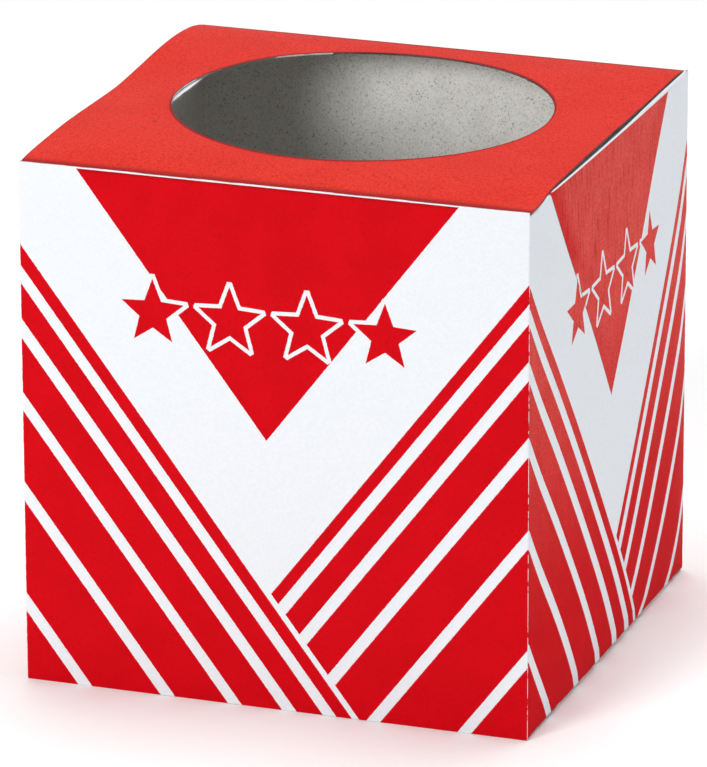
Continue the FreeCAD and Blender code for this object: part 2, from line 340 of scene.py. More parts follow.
def printed_wall(name, across, start, direction, triangle_top=TRIANGLE_TOP, fall=0.0,
                 triangle=TRIANGLE, shift=(0.0, 0.0), edge_darkening=0.0, streaked=0.0, painted_sheen=0.0, cut_shadow_line=0.0,
                 gloss=0.03):
    """fall is how much lower the triangle's top lies at the far end of the wall."""
    material, graph, shader, place = new_material(name)
    u, v, reached = face_place(graph, place, across, start, direction)
    top = graph.sub(triangle_top, graph.mul(u, fall / FACE))
    ink, from_left, inside = print_mask(graph, place, u, v, shift, triangle, top)
    grain = graph.noise(place, 900.0, 3.0, 0.65)
    cloud = graph.noise(place, 60.0, 3.0, 0.5)
    # The ink has cracked off along the two upright folds.
    edge = graph.both(u, graph.sub(FACE, u))
    chips = graph.over(graph.noise(graph.stretch(place, (1.0, 1.0, 0.3)), 1300.0, 2.0, 0.6), 0.47)
    cracked = graph.both(graph.under(edge, CRACK), chips)
    ink = graph.both(graph.both(ink, reached), graph.sub(1.0, cracked))
    paper = graph.mix(graph.ease(grain, 0.35, 0.7), *PAPER)
    red = graph.mix(graph.ease(cloud, 0.3, 0.7), INK, (0.592, 0.0019, 0.0068, 1.0))
    if painted_sheen:
        # Painted sheen: the red is washed paler towards the top, in patches, as a glancing reflection makes
        # it, but not beside the fold at the triangle's corner.
        corner = graph.both(graph.ease(from_left, 2.0, 18.0, 0.6, 0.0), graph.ease(v, 150.0, 190.0))
        sheen_share = graph.mul(graph.ease(v, 30.0, 170.0, 0.05, painted_sheen), graph.sub(1.0, corner))
        sheen_share = graph.mul(sheen_share, graph.ease(cloud, 0.25, 0.75, 0.85, 1.15))
        sheen_share = graph.mul(sheen_share, graph.ease(graph.noise(place, 1100.0, 2.0, 0.6), 0.3, 0.7, 0.7, 1.3))
        red = graph.mix(sheen_share, red, (0.73, 0.105, 0.085, 1.0))
    red = graph.mix(graph.ease(grain, 0.52, 0.72, 0.0, 0.45), red, (0.36, 0.002, 0.004, 1.0))
    if streaked:
        streak = graph.noise(graph.stretch(place, (1.0, 1.0, 0.08)), 900.0, 2.0, 0.6)
        strength = graph.ease(v, 110.0, 175.0, 0.3 * streaked, streaked)
        strength = graph.mul(graph.ease(streak, 0.50, 0.70), strength)
        red = graph.mix(strength, red, (0.28, 0.002, 0.004, 1.0))
    if edge_darkening:
        # Painted shade: the red darkens in a narrow band just below the triangle's top, beside the top
        # fold.
        near_top = graph.ease(graph.sub(top, v), 0.0, 1.7, edge_darkening, 0.0)
        red = graph.mix(near_top, red, (0.26, 0.002, 0.004, 1.0))
    colour = graph.mix(ink, paper, red)
    if cut_shadow_line:
        # Painted shadow: a thin dark line along the triangle's left edge, where a narrow cut would lie in
        # shade.
        beside = graph.under(graph.math("ABSOLUTE", graph.add(from_left, 0.1)), 0.22)
        line = graph.both(graph.both(beside, graph.over(inside, -0.4)), reached)
        colour = graph.mix(graph.mul(line, cut_shadow_line), colour, (0.10, 0.02, 0.02, 1.0))
    graph.feed(shader.inputs["Base Color"], colour)
    graph.feed(shader.inputs["Roughness"], graph.ramp(ink, 0.0, 1.0, 0.52, 0.40))
    shader.inputs["Specular IOR Level"].default_value = gloss
    surface = graph.add(graph.mul(grain, 0.7), graph.mul(graph.noise(place, 250.0), 0.5))
    surface = graph.add(surface, graph.mul(ink, 0.15))
    graph.feed(shader.inputs["Normal"], graph.bump(surface, 0.00001))
    return material


def lid_board():
    """The plain red of the lid, paler than the walls' ink as painted sheen; it is darker round the hole,
    along its folds and along its side edges, and along the front fold that darker band is painted shade.
    """
    material, graph, shader, place = new_material("lid_print")
    parts = graph.node("ShaderNodeSeparateXYZ", {"Vector": place}).outputs
    x, y, z = (graph.mul(parts[axis], 1 / MM) for axis in "XYZ")
    grain = graph.noise(graph.stretch(place, (1.0, 0.5, 1.0)), 1300.0, 3.0, 0.75)
    cloud = graph.noise(place, 45.0, 3.0, 0.5)
    # Painted sheen: both reds are paler and less deep than the walls' ink, as a glancing reflection makes
    # the top look.
    red = graph.mix(graph.ease(cloud, 0.3, 0.7), (0.67, 0.030, 0.017, 1.0), (0.71, 0.036, 0.021, 1.0))
    red = graph.mix(graph.ease(grain, 0.46, 0.62, 0.0, 0.55), red, (0.46, 0.010, 0.007, 1.0))
    speck = graph.ease(graph.noise(place, 620.0, 1.0, 0.5), 0.70, 0.76, 0.0, 0.55)
    red = graph.mix(speck, red, (0.16, 0.010, 0.010, 1.0))
    # A darker ring round the hole, which is wider in front and behind, and darker bands along the back fold
    # and the side edges.
    from_x, from_y = graph.sub(x, HOLE_X), graph.sub(y, HOLE_Y)
    reach = graph.math("SQRT", graph.add(graph.mul(from_x, from_x), graph.mul(from_y, from_y)))
    ring = graph.ramp(graph.math("ABSOLUTE", from_y), 0.0, HOLE_R, 0.6, 2.2)
    hole = graph.ease(graph.math("DIVIDE", graph.sub(reach, HOLE_R), ring), 0.35, 1.0, 0.95, 0.0)
    # Painted shade: along the front fold the red deepens, where the fold turns down away from the light.
    front = graph.ease(y, LID_FRONT + 1.0, LID_FRONT + 5.5, 0.85, 0.0)
    front = graph.both(front, graph.ease(z, HEIGHT - 2.0, HEIGHT - 1.2))
    behind = graph.ease(y, BACK - 3.0, BACK - 1.3, 0.0, 0.95)
    edge = graph.add(graph.ease(y, LID_FRONT, LID_FRONT + OVERHANG_RUN, OVERHANG, 0.0), LID_SIDE)
    past_side = graph.either(graph.sub(x, edge), graph.sub(-LID_SIDE, x))
    side = graph.ease(past_side, -0.5, -0.1, 0.0, 0.7)
    edge_darkening = graph.either(graph.either(hole, front), graph.either(behind, side))
    red = graph.mix(edge_darkening, red, (0.24, 0.008, 0.010, 1.0))
    graph.feed(shader.inputs["Base Color"], red)
    graph.feed(shader.inputs["Roughness"], graph.ramp(grain, 0.3, 0.7, 0.42, 0.58))
    shader.inputs["Specular IOR Level"].default_value = 0.05
    surface = graph.add(grain, graph.mul(graph.noise(place, 250.0), 0.6))
    graph.feed(shader.inputs["Normal"], graph.bump(surface, 0.000012))
    return material


def coated_board():
    """The coated side where nothing is printed."""
    material, graph, shader, place = new_material("coated_white")
    grain = graph.noise(place, 900.0, 3.0, 0.65)
    graph.feed(shader.inputs["Base Color"], graph.mix(graph.ease(grain, 0.35, 0.7), *PAPER))
    graph.feed(shader.inputs["Roughness"], graph.ramp(grain, 0.3, 0.7, 0.5, 0.6))
    shader.inputs["Specular IOR Level"].default_value = 0.03
    graph.feed(shader.inputs["Normal"], graph.bump(grain, 0.00001))
    return material


def grey_board():
    """The uncoated back of the board: recycled fibre with dark flecks."""
    material, graph, shader, place = new_material("grey_back")
    cloud = graph.noise(place, 120.0, 4.0, 0.6)
    fleck = graph.noise(place, 1150.0, 2.0, 0.6)
    fine = graph.noise(place, 1500.0, 2.0, 0.6)
    colour = graph.mix(graph.ease(cloud, 0.3, 0.7), (0.755, 0.738, 0.70, 1.0), (0.825, 0.808, 0.77, 1.0))
    colour = graph.mix(graph.ease(fine, 0.48, 0.62, 0.0, 0.35), colour, (0.40, 0.39, 0.375, 1.0))
    colour = graph.mix(graph.ease(fleck, 0.60, 0.70, 0.0, 0.70), colour, (0.20, 0.195, 0.19, 1.0))
    graph.feed(shader.inputs["Base Color"], colour)
    graph.feed(shader.inputs["Roughness"], graph.ramp(cloud, 0.3, 0.7, 0.85, 0.97))
    shader.inputs["Specular IOR Level"].default_value = 0.15
    surface = graph.add(graph.mul(fleck, 0.8), cloud)
    graph.feed(shader.inputs["Normal"], graph.bump(surface, 0.00005))
    return material


def cut_board(name, dark, light, stain, stained):
    """The fibre of a cut edge, with stretches of a darker stain."""
    material, graph, shader, place = new_material(name)
    fibre = graph.noise(place, 2200.0, 3.0, 0.7)
    colour = graph.mix(graph.ease(fibre, 0.35, 0.7), dark, light)
    stretch = graph.ease(graph.noise(place, 55.0, 2.0, 0.6), 0.48, 0.60, 0.0, stained)
    graph.feed(shader.inputs["Base Color"], graph.mix(stretch, colour, stain))
    graph.feed(shader.inputs["Roughness"], graph.ramp(fibre, 0.3, 0.7, 0.8, 0.95))
    shader.inputs["Specular IOR Level"].default_value = 0.15
    graph.feed(shader.inputs["Normal"], graph.bump(fibre, 0.00006))
    return material


def dried_glue():
    material, graph, shader, place = new_material("dried_glue")
    cloud = graph.noise(place, 300.0, 3.0, 0.6)
    graph.feed(shader.inputs["Base Color"], graph.mix(
        graph.ease(cloud, 0.3, 0.7), (0.74, 0.68, 0.52, 1.0), (0.86, 0.82, 0.70, 1.0)))
    graph.feed(shader.inputs["Roughness"], graph.ramp(cloud, 0.3, 0.7, 0.25, 0.5))
    graph.feed(shader.inputs["Normal"], graph.bump(cloud, 0.00004))
    return material


# The front wall's print is darkened below its triangle's top with painted shade.
FRONT_PRINT = printed_wall("front_print", "X", -SIDE, 1, edge_darkening=0.55)
# The right wall's print carries painted sheen and a painted shadow line beside its triangle.
RIGHT_PRINT = printed_wall(
    "right_print", "Y", FRONT, 1, triangle_top=200.75, fall=1.4, triangle=(167.5, 1 / 1.395, 6.2, 1 / 1.21),
    shift=(2.7, 0.0), streaked=0.45, painted_sheen=0.75, cut_shadow_line=0.8, gloss=0.003)
BACK_PRINT = printed_wall("back_print", "X", SIDE, -1, triangle_top=FACE + 1.0)
LEFT_PRINT = printed_wall("left_print", "Y", BACK, -1, triangle_top=197.2, fall=-2.0, streaked=0.4)
LID_PRINT = lid_board()
WHITE = coated_board()
GREY = grey_board()
CUT = cut_board(
    "cut_edge", (0.62, 0.55, 0.53, 1.0), (0.88, 0.80, 0.78, 1.0), (0.20, 0.07, 0.06, 1.0), stained=0.85)
# A near-black copy of the cut edge: painted shade on the lid's outer cut edges and the right part of the
# hole's edge.
SHADED_CUT = cut_board(
    "shaded_cut", (0.09, 0.04, 0.035, 1.0), (0.28, 0.16, 0.14, 1.0), (0.05, 0.03, 0.03, 1.0), stained=0.7)
GLUE = dried_glue()


# Board pieces: an outer and an inner skin, joined along every cut edge

class BoardMesh:
    def __init__(self):
        self.known = {}
        self.outer = []
        self.inner = []
        self.quads = []
        self.skins = []

    def point(self, outer, inner):
        key = tuple(np.round(np.concatenate((outer, inner)), 4))
        if key not in self.known:
            self.known[key] = len(self.outer)
            self.outer.append(outer)
            self.inner.append(inner)
        return self.known[key]

    def patch(self, outer, inner, keep=None, plain_from=None):
        """Rows and columns of points; keep says which cells between them are board.

        From row plain_from on, the outer skin has the board's fifth material.
        """
        outer, inner = np.asarray(outer, float), np.asarray(inner, float)
        rows, columns = outer.shape[:2]
        row, column = max(rows // 2 - 1, 0), max(columns // 2 - 1, 0)
        middle = outer[row, column]
        side = np.cross(outer[row + 1, column] - middle, outer[row, column + 1] - middle)
        outward = np.dot(side, middle - inner[row, column]) > 0
        for i in range(rows - 1):
            for j in range(columns - 1):
                if keep is not None and not keep[i, j]:
                    continue
                corners = [(i, j), (i + 1, j), (i + 1, j + 1), (i, j + 1)]
                quad = [self.point(outer[c], inner[c]) for c in corners]
                self.quads.append(quad if outward else quad[::-1])
                self.skins.append(4 if plain_from is not None and i >= plain_from else 0)

    def build(self, name, node, body, materials, blend=None, other_cut=None):
        """A mesh of the board.

        materials: outer skin, inner skin, cut edge, and where other_cut says so of a point, a
        second cut edge; a fifth is for the plain part of an outer skin. blend: when it is given, the
        piece keeps its place and joins no body; the second body and the ends of the bend in it are not
        used.
        """
        count = len(self.outer)
        faces = [list(quad) for quad in self.quads]
        skins = list(self.skins)
        faces += [[count + i for i in reversed(quad)] for quad in self.quads]
        skins += [1] * len(self.quads)
        used = set()
        for quad in self.quads:
            for a, b in zip(quad, quad[1:] + quad[:1]):
                used.add((a, b))
        for a, b in sorted(used):
            if (b, a) not in used:
                faces.append([b, a, count + a, count + b])
                skins.append(3 if other_cut and other_cut(self.outer[a]) else 2)
        mesh = bpy.data.meshes.new(name)
        points = np.array(self.outer + self.inner) * MM
        mesh.from_pydata(points.tolist(), [], faces)
        rest = mesh.attributes.new(REST_PLACE, "FLOAT_VECTOR", "POINT")
        rest.data.foreach_set("vector", points.ravel())
        mesh.polygons.foreach_set("material_index", skins)
        for material in materials:
            mesh.materials.append(material)
        mesh.shade_smooth()
        mesh.set_sharp_from_angle(angle=math.radians(SHARP_ANGLE))
        mesh.update()
        mesh.validate()
        piece = bpy.data.objects.new(name, mesh)
        bpy.context.scene.collection.objects.link(piece)
        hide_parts(node)
        if blend is None:
            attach(piece, body)
        else:
            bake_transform(piece)
        return piece


def spaced(low, high, step, *extra):
    """Evenly spaced stations from low to high, with some that must be there."""
    count = max(2, int(math.ceil(abs(high - low) / step)) + 1)
    stations = list(np.linspace(low, high, count))
    for value in extra:
        nearest = min(range(len(stations)), key=lambda k: abs(stations[k] - value))
        if 0 < nearest < len(stations) - 1 and abs(stations[nearest] - value) < 0.3 * step:
            stations[nearest] = value
        else:
            stations.append(value)
    return sorted(stations)


def wall_stations(length, folded_low, folded_high, extra):
    """Stations along a wall: place and sink of the outer skin, place and sink of the inner one.

    A folded end turns through half of the fold and stops at the mitre with its neighbour.
    """
    low = [(0.0, 0.0, 0.0, BOARD)]
    high = [(length, 0.0, length, BOARD)]
    turns = [math.radians(45) * (1 - k / FOLD_STEPS) for k in range(FOLD_STEPS)]
    arc = []
    for k, turn in enumerate(turns):
        inner = BOARD + (FOLD - BOARD) * k / FOLD_STEPS
        arc.append((FOLD - FOLD * math.sin(turn), FOLD - FOLD * math.cos(turn), inner, BOARD))
    arc.append((FOLD, 0.0, FOLD, BOARD))
    if folded_low:
        low = arc
    if folded_high:
        high = [(length - a, b, length - c, d) for a, b, c, d in reversed(arc)]
    start, end = low[-1][0], high[0][0]
    inside = [x for x in spaced(start, end, BOARD_STEP, *extra) if start + 0.01 < x < end - 0.01]
    return low + [(x, 0.0, x, BOARD) for x in inside] + high


def through(points, value):
    """A smooth curve through points, read at value."""
    k = min(max(sum(value >= p[0] for p in points) - 1, 0), len(points) - 2)
    (a, low), (b, high) = points[k], points[k + 1]
    slopes = []
    for i in (k, k + 1):
        before, after = points[max(i - 1, 0)], points[min(i + 1, len(points) - 1)]
        slopes.append((after[1] - before[1]) / (after[0] - before[0]) * (b - a))
    t = min(max((value - a) / (b - a), 0.0), 1.0)
    return (low * (1 + 2 * t) * (1 - t) ** 2 + slopes[0] * t * (1 - t) ** 2
            + high * t ** 2 * (3 - 2 * t) - slopes[1] * t ** 2 * (1 - t))


def eased(value, low, high):
    """0 below low, 1 above high, and smooth between them."""
    t = min(max((value - low) / (high - low), 0.0), 1.0)
    return t * t * (3 - 2 * t)


def wall(name, corner, across, outward, length, low, high, folds, slot_range, bulge, material, raised=None):
    """A wall of the tube.

    corner is the foot of its first upright edge, across and outward are unit vectors. low and high
    are its cut edges; a fold above or below starts one FOLD short of them, over slot_range.
    raised(share) is how far the wall's top has slipped up at a share of its length.
    """
    corner, across, outward = (np.array(v, float) for v in (corner, across, outward))
    up = np.array((0.0, 0.0, 1.0))
    fold_low, fold_high, mitre_start, mitre_end = folds
    extra = list(slot_range) if slot_range else []
    stations = wall_stations(length, mitre_start, mitre_end, extra)
    base = low + (FOLD if fold_low else 0.0)
    top = high - (FOLD if fold_high else 0.0)
    heights = spaced(base, top, BOARD_STEP)
    if fold_low:
        heights = [low + 0.2] + heights
    if fold_high:
        heights = heights + [high - 0.2]
    outer = np.zeros((len(heights), len(stations), 3))
    inner = np.zeros_like(outer)
    for i, height in enumerate(heights):
        for j, (place, sink, place_in, sink_in) in enumerate(stations):
            swell = bulge(place / length, height)
            slipped = raised(place / length) * eased(height, low, top) if raised else 0.0
            level = up * (height + slipped)
            outer[i, j] = corner + across * place + level + outward * (swell - sink)
            inner[i, j] = corner + across * place_in + level + outward * (swell - sink_in)
    keep = np.ones((len(heights) - 1, len(stations) - 1), bool)
    for j in range(len(stations) - 1):
        middle = (stations[j][0] + stations[j + 1][0]) / 2
        inside = slot_range and slot_range[0] < middle < slot_range[1]
        if fold_low and inside:
            keep[0, j] = False
        if fold_high and inside:
            keep[-1, j] = False
    board = BoardMesh()
    board.patch(outer, inner, keep)
    return board.build(name, name, "walls", [material, GREY, CUT])


def calm(share, height):
    """A nearly flat wall, with the small waves of real board."""
    edge = math.sin(math.pi * share) * math.sin(math.pi * min(max(height / HEIGHT, 0), 1))
    return edge * (0.25 * math.sin(3.1 * share + 0.02 * height) + 0.15 * math.sin(0.045 * height))


# The right wall stands out: how far at a height up its middle, and what share of that along it. It is
# fuller towards the back, where the glue flap stiffens it.
SWELL_UP = [(0, 0), (5, 1.3), (15, 2.1), (30, 2.8), (50, 3.1), (115, 3.0), (150, 2.5), (180, 1.5),
            (HEIGHT, 0.9)]
SWELL_ALONG = [(0, 0), (0.06, 0.1), (0.15, 0.5), (0.3, 0.85), (0.5, 1), (0.75, 0.85), (0.93, 0.55), (1, 0)]
# The top of that wall has slipped up, but for the stretch beside the front fold
SLIPPED_ALONG = [(0, 0), (0.06, 0), (0.13, 1.45), (0.18, 1.6), (0.35, 1.45), (0.5, 1.25), (0.6, 1.25),
                 (0.7, 1.5), (0.88, 1.65), (1, 1.2)]


def swollen(share, height):
    return through(SWELL_UP, height) * through(SWELL_ALONG, share)


def slipped_up(share):
    return through(SLIPPED_ALONG, share)


WIDTH, DEPTH = 2 * SIDE, 2 * BACK
wall("front_wall", (-SIDE, FRONT, 0), (1, 0, 0), (0, -1, 0), WIDTH, 0.0, FRONT_TOP + FRONT_SHOWS,
     (False, False, True, True), None, calm, FRONT_PRINT)
wall("right_wall", (SIDE, FRONT, 0), (0, 1, 0), (1, 0, 0), DEPTH, SIDE_LOW, SIDE_HIGH,
     (True, True, True, False), (DUST_FRONT - FRONT, DUST_BACK - FRONT), swollen, RIGHT_PRINT, slipped_up)
wall("left_wall", (-SIDE, BACK, 0), (0, -1, 0), (-1, 0, 0), DEPTH, SIDE_LOW, SIDE_HIGH,
     (True, True, True, True), (BACK - DUST_BACK, BACK - DUST_FRONT), calm, LEFT_PRINT)
wall("back_wall", (SEAM - FOLD, BACK, 0), (-1, 0, 0), (0, 1, 0), SEAM - FOLD + SIDE, 0.0, HEIGHT,
     (True, True, False, True), (-1.0, SEAM - FOLD + LID_SIDE), calm, BACK_PRINT)


# The bow of the lid: distance behind its front fold, and height above the flat there

START_FRONT = LID_FRONT + FOLD * math.tan(math.radians(TUCK_TURN / 2))
START_BACK = BACK - FOLD
SPAN = START_BACK - START_FRONT
LEFT_EDGE = [(0, 0), (7, 0.7), (15, 1.1), (30, 1.6), (45, 1.9), (62, 1.7), (80, 1.3), (98, 1.1), (109, 1.6),
             (127, 2.7), (140, 3.6), (155, 4.1), (168, 3.85), (180, 2.7), (188, 1.2), (SPAN, 0)]
LEFT_OF_HOLE = [(0, 0), (10, 1.5), (20, 2.6), (35, 3.4), (60, 3.7), (85, 3.6), (105, 3.2), (130, 3.1),
                (150, 3.2), (168, 2.6), (181, 1.6), (SPAN, 0)]
RIGHT_OF_HOLE = [(0, 0), (10, 1.3), (20, 2.2), (32, 2.7), (60, 2.6), (100, 2.2), (140, 2.2), (165, 2.0),
                 (180, 1.3), (SPAN, 0)]
RIGHT_EDGE = [(0, 0), (12, 0.1), (20, 0.75), (28, 1.4), (45, 1.6), (65, 1.8), (100, 1.75), (130, 1.4),
              (155, 1.25), (175, 1.5), (184, 1.3), (SPAN, 0)]
# How far left and right of the lid's middle the two inner curves run
HOLE_BESIDE = 68.0


def lift(x, y):
    """How far the lid stands above the flat between its folds."""
    back = y - START_FRONT
    edges = [through(points, back) for points in (LEFT_EDGE, LEFT_OF_HOLE, RIGHT_OF_HOLE, RIGHT_EDGE)]
    return max(through(list(zip((-LID_SIDE, -HOLE_BESIDE, HOLE_BESIDE, LID_SIDE), edges)), x), 0.0)


# Flaps: the fold itself belongs to the flap, and is built round through the flap's turn

def fold_profile(turn, lengths):
    """Outer and inner points from the start of a fold to the flap's free edge.

    In the plane across the fold: first number ahead along the parent, second outward from it,
    both from the sharp corner that the fold rounds off.
    """
    total = math.radians(turn)
    start = -FOLD * math.tan(total / 2)
    outer, inner = [], []
    for k in range(2 * FOLD_STEPS + 1):
        angle = total * k / (2 * FOLD_STEPS)
        for points, radius in ((outer, FOLD), (inner, FOLD - BOARD)):
            points.append((start + radius * math.sin(angle), radius * math.cos(angle) - FOLD))
    ahead = np.array((math.cos(total), -math.sin(total)))
    begun = FOLD * math.tan(total / 2)
    for length in lengths:
        for points in (outer, inner):
            points.append(tuple(np.array(points[2 * FOLD_STEPS]) + ahead * (length - begun)))
    return np.array(outer), np.array(inner)


def flap_mesh(board, corner, along, ahead, outward, turn, depths, limits,
              skip=None, shape=None, longer=None, shifted=None, plain=False):
    """A flap's patch, with its places along the fold from limits(depth).

    skip(depth, place) cuts cells out, shape(depth, place) lifts the flap off its plane, and
    longer(depth, place) moves its points away from the fold. shifted(place) moves fold and flap.
    A plain flap has print on its fold only.
    """
    corner, along, ahead, outward = (np.array(v, float) for v in (corner, along, ahead, outward))
    total = math.radians(turn)
    normal = ahead * math.sin(total) + outward * math.cos(total)
    onward = ahead * math.cos(total) - outward * math.sin(total)
    outer2, inner2 = fold_profile(turn, depths)
    row_depths = [0.0] * (2 * FOLD_STEPS + 1) + list(depths)
    columns = len(limits(0.0))
    outer, inner = [], []
    for row, depth in enumerate(row_depths):
        out_row, in_row = [], []
        for place in limits(depth):
            moved = corner + along * place
            if shifted:
                moved = moved + shifted(place)
            if shape and depth:
                moved = moved + normal * shape(depth, place)
            if longer and depth:
                moved = moved + onward * longer(depth, place)
            for points, (a, b) in ((out_row, outer2[row]), (in_row, inner2[row])):
                points.append(moved + ahead * a + outward * b)
        outer.append(out_row)
        inner.append(in_row)
    keep = np.ones((len(row_depths) - 1, columns - 1), bool)
    if skip:
        for i in range(len(row_depths) - 1):
            depth = (row_depths[i] + row_depths[i + 1]) / 2
            for j in range(columns - 1):
                places = limits(depth)
                if skip(depth, (places[j] + places[j + 1]) / 2):
                    keep[i, j] = False
    board.patch(outer, inner, keep, 2 * FOLD_STEPS if plain else None)


def bend_between(corner, ahead, outward, turn):
    """Start and end of the bend of a fold."""
    total = math.radians(turn)
    corner, ahead, outward = (np.array(v, float) for v in (corner, ahead, outward))
    outer, inner = fold_profile(turn, [])
    first, last = outer[0], outer[-1]
    line = (last - first) / np.linalg.norm(last - first)
    low = max(np.dot(p - first, line) for p in (outer[0], inner[0]))
    high = min(np.dot(p - first, line) for p in (outer[-1], inner[-1]))
    if high - low < 0.1:
        middle = (high + low) / 2
        low, high = middle - 0.05, middle + 0.05
    start, end = first + line * low, first + line * high
    return tuple(corner + ahead * p[0] + outward * p[1] for p in (start, end))


def trimmed(side_low, side_high, depth, full, radius, columns):
    """Stations along a flap at a depth, drawn in where the free corners are round."""
    left = full - depth
    cut = 0.0
    if left < radius:
        cut = radius - math.sqrt(max(radius ** 2 - (radius - left) ** 2, 0.0))
    low, high = side_low + cut, side_high - cut
    return [low + (high - low) * c for c in columns]


def tuck_flap(name, height, ahead, outward, body, parent, material):
    """A tuck flap with a slit lock at each end of its fold."""
    along = (1, 0, 0)
    corner = (0.0, LID_FRONT, height)
    depths = [SLIT_DEPTH, 2.2] + list(np.linspace(4.0, TUCK_DEPTH - TUCK_ROUND, 4))
    depths += [TUCK_DEPTH - TUCK_ROUND * (1 - math.sin(math.radians(a))) for a in range(10, 91, 8)]
    depths = sorted(set(round(d, 4) for d in depths + [TUCK_DEPTH]))
    full = TUCK_SIDE
    columns = np.array(spaced(-full, full, TUCK_STEP, -SLIT_IN, SLIT_IN))
    shares = (columns + full) / (2 * full)

    def limits(depth):
        return trimmed(-full, full, depth, TUCK_DEPTH, TUCK_ROUND, shares)

    def skip(depth, place):
        return depth < SLIT_DEPTH and abs(place) > SLIT_IN

    board = BoardMesh()
    flap_mesh(board, corner, along, ahead, outward, TUCK_TURN, depths, limits, skip)
    bend = (body, *bend_between(corner, ahead, outward, TUCK_TURN))
    return board.build(name, name, parent, [material, GREY, CUT], bend)


def sprung(depth, place):
    """The lid's left dust flap springs up until its free edge lies under the lid."""
    return lift(depth - SIDE, place) * (depth / DUST_WIDTH) ** 0.8


def wider(depth, place):
    """That flap is a little wider than the other, so its free edge shows in the hand hole."""
    return (LEFT_FLAP_WIDER - LEFT_FLAP_SLANT * (place - HOLE_Y)) * depth / DUST_WIDTH


def drooping(depth, place):
    """The lid's right dust flap hangs a little below the level of its fold."""
    return -DROOP * (1 - math.exp(-depth / DROOP_RUN))


def with_right_wall(place):
    """How far the top of the right wall has moved, out and up, at a place along it."""
    share = (place - FRONT) / DEPTH
    return np.array((swollen(share, SIDE_HIGH - FOLD), 0.0, slipped_up(share)))


def dust_flap(name, side, height, ahead, body, material, shape=None, longer=None, shifted=None):
    """A dust flap with a slanted back end and rounded free corners."""
    corner = (side * SIDE, 0.0, height)
    full = DUST_WIDTH
    depths = [1.1, 1.6, 3.0] + list(np.linspace(5.0, full - DUST_ROUND, 5))
    depths += [full - DUST_ROUND * (1 - math.sin(math.radians(a))) for a in range(15, 91, 15)]
    depths = sorted(set(round(d, 4) for d in depths))
    shares = np.linspace(0, 1, 33)

    def limits(depth):
        slant = max(depth - 1.0, 0.0)
        return trimmed(DUST_FRONT, DUST_BACK - slant, depth, full, DUST_ROUND, shares)

    outward = (side, 0, 0)
    board = BoardMesh()
    flap_mesh(board, corner, (0, 1, 0), ahead, outward, 90.0, depths, limits,
              shape=shape, longer=longer, shifted=shifted, plain=True)
    # The bend is taken to start past the row that has moved furthest.
    furthest = 0.0
    if shifted:
        furthest = max(max(up - out, 0.0) for out, _, up in map(shifted, limits(0.0)))
    bend_corner = (corner[0], corner[1], height + furthest)
    bend = (body, *bend_between(bend_corner, ahead, outward, 90.0))
    return board.build(name, name, "walls", [material, GREY, CUT, CUT, WHITE], bend)


tuck_flap("lid_tuck_flap", HEIGHT, (0, -1, 0), (0, 0, 1), "lid_tuck", "lid", LID_PRINT)
tuck_flap("bottom_tuck_flap", 0.0, (0, -1, 0), (0, 0, -1), "bottom_tuck", "bottom", WHITE)
dust_flap("lid_dust_flap_right", 1, SIDE_HIGH, (0, 0, 1), "lid_dust_right", RIGHT_PRINT, drooping,
          shifted=with_right_wall)
dust_flap("lid_dust_flap_left", -1, SIDE_HIGH, (0, 0, 1), "lid_dust_left", LEFT_PRINT, sprung, wider)
dust_flap("bottom_dust_flap_right", 1, SIDE_LOW, (0, 0, -1), "bottom_dust_right", RIGHT_PRINT)
dust_flap("bottom_dust_flap_left", -1, SIDE_LOW, (0, 0, -1), "bottom_dust_left", LEFT_PRINT)


# The glued seam

def glue_flap():
    """Folded from the back wall and glued inside the right wall; it rides with the walls."""
    full = BACK - GLUE_EDGE
    depths = [1.6] + list(np.linspace(4.0, full, 4))

    def limits(depth):
        slant = GLUE_TAPER * min(max(depth - BOARD, 0.0) / (full - BOARD), 1.0)
        return list(np.linspace(GLUE_LOW + slant, GLUE_HIGH - slant, 25))

    board = BoardMesh()
    flap_mesh(board, (SEAM, BACK, 0), (0, 0, 1), (1, 0, 0), (0, 1, 0), 90.0, depths, limits)
    return board.build("glue_flap", "glue_flap", "walls", [WHITE, GREY, CUT])


def glue_film():
    """A film of glue with an uneven outline."""
    heights = np.linspace(FILM_LOW[2], FILM_HIGH[2], 60)
    outer, inner = [], []
    for k, height in enumerate(heights):
        sway = 0.5 + 0.5 * math.sin(0.9 * k) * math.cos(0.37 * k)
        places = np.linspace(FILM_LOW[1] + FILM_WAVE * sway, FILM_HIGH[1] - FILM_WAVE * (1 - sway), 6)
        outer.append([(FILM_HIGH[0] - FILM_INSET, place, height) for place in places])
        inner.append([(FILM_LOW[0] + FILM_INSET, place, height) for place in places])
    board = BoardMesh()
    board.patch(outer, inner)
    return board.build("glue_line", "glue_line", "walls", [GLUE, GLUE, GLUE])


glue_flap()
glue_film()


# Closing panels

def lid_skin(x, y):
    """Outer and inner point of the lid; the inner one lies straight below.

    Beside its right slit the lid leans out over the wall.
    """
    z = HEIGHT + lift(x, y)
    past_slit = max((x - SLIT_IN) / (LID_SIDE - SLIT_IN), 0.0)
    leaning = OVERHANG * (1 - eased(y, LID_FRONT, LID_FRONT + OVERHANG_RUN))
    out = x + leaning * past_slit
    return (out, y, z), (out, y, z - BOARD)


